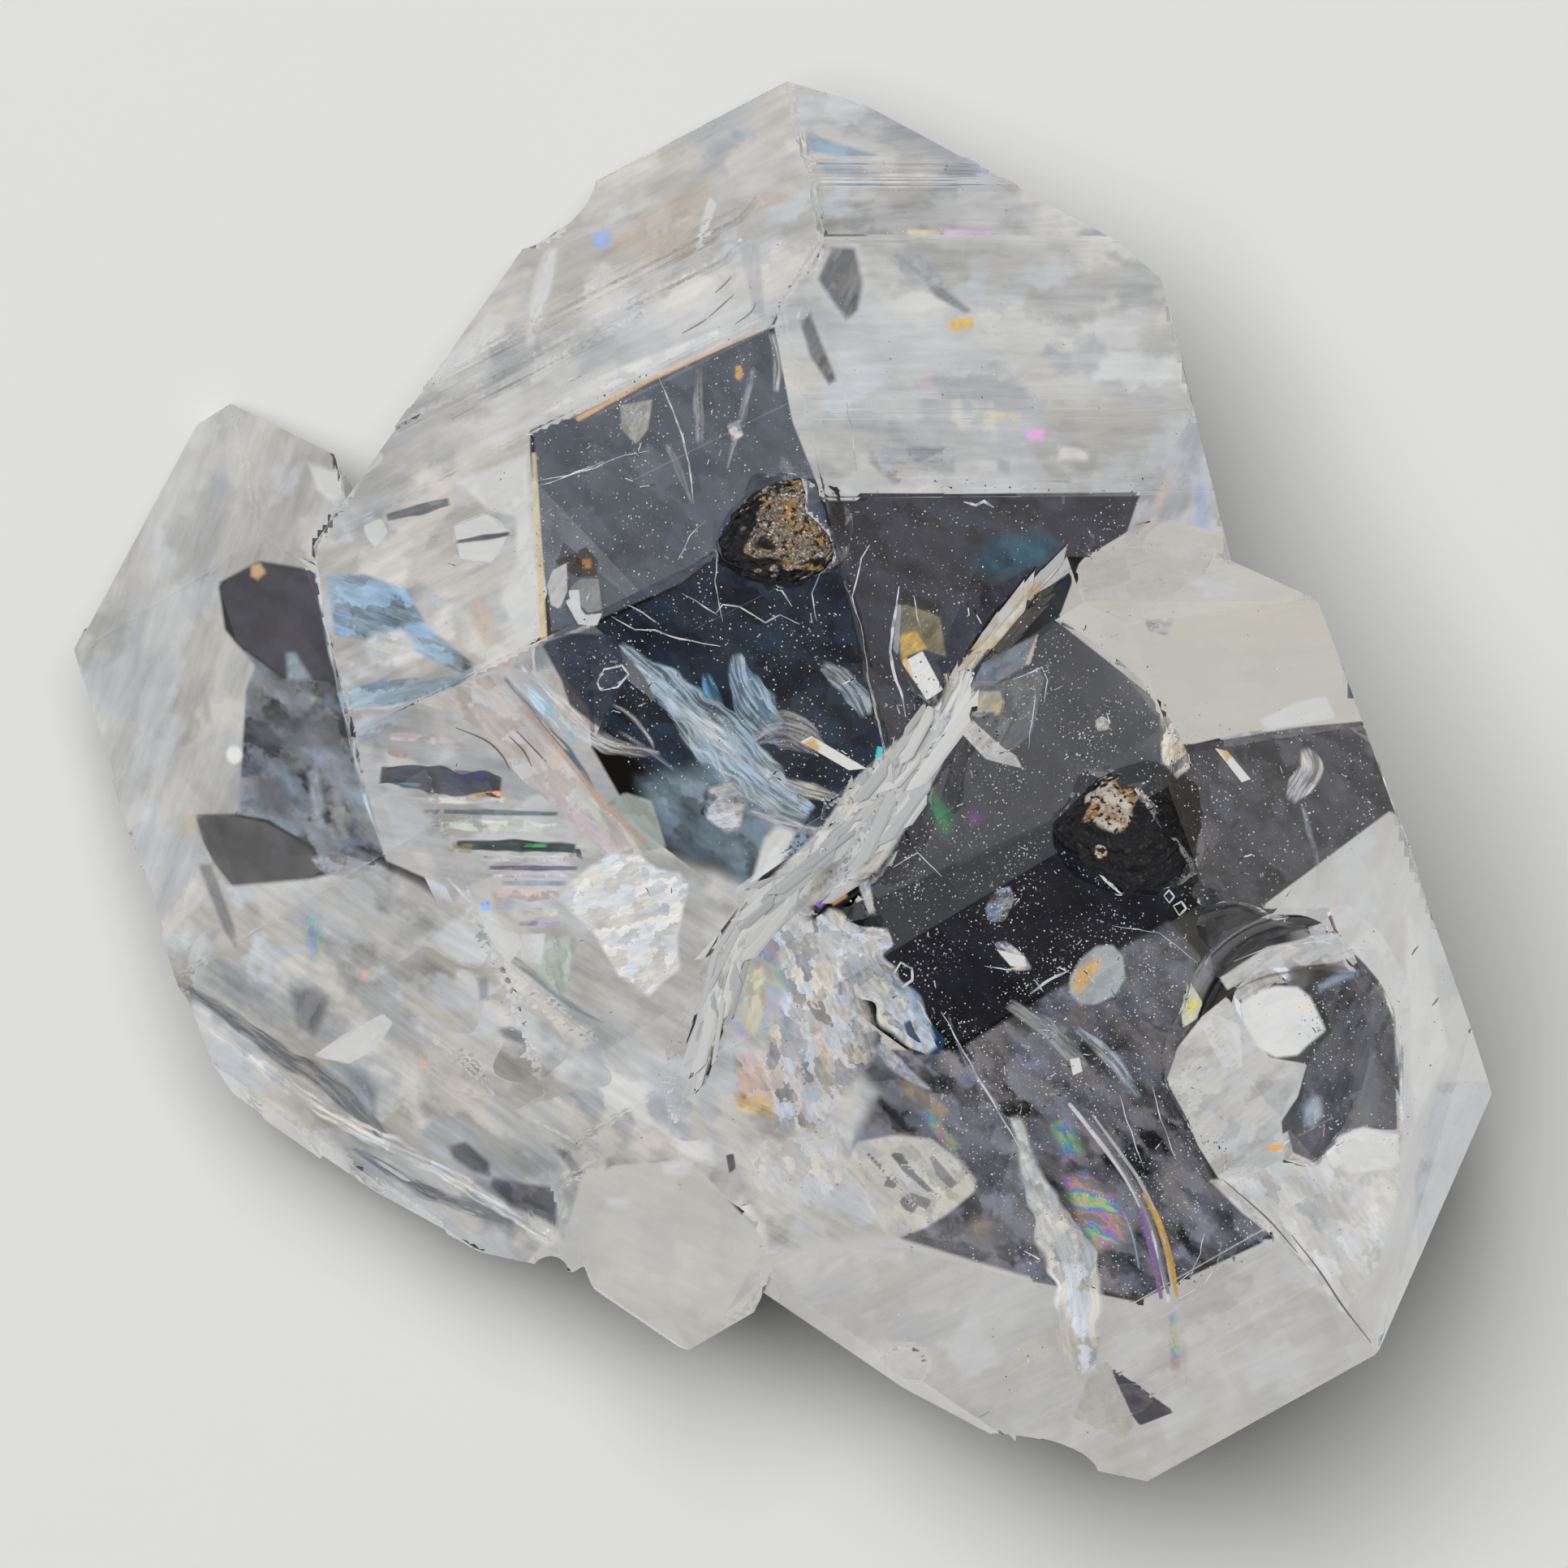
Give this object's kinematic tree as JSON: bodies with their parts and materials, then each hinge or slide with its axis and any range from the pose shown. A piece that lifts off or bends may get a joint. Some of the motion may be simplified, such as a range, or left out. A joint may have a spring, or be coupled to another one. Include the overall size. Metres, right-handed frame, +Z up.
{
  "type": "herkimer diamond crystal cluster",
  "caption": "Water-clear cluster of intergrown doubly terminated quartz crystals with black grains seated in pits, resting on small flat spots.",
  "frame": {"origin": "middle of the overall box, on the surface that the cluster rests on", "axes": "+Z up off the rest plane, -Y towards the front tips of the crystals, +X to the right seen from the front"},
  "size_m": [0.0316, 0.031, 0.0174],
  "materials": {
    "clear_quartz": "vitreous, water-clear, with fine growth lines",
    "anthraxolite": "granular, half-dull black with brown crumbs"
  },
  "bodies": {
    "root": {"crystal_cluster": "clear_quartz", "anthraxolite_grain_upper": "anthraxolite", "anthraxolite_grain_lower": "anthraxolite"}
  },
  "joints": []
}
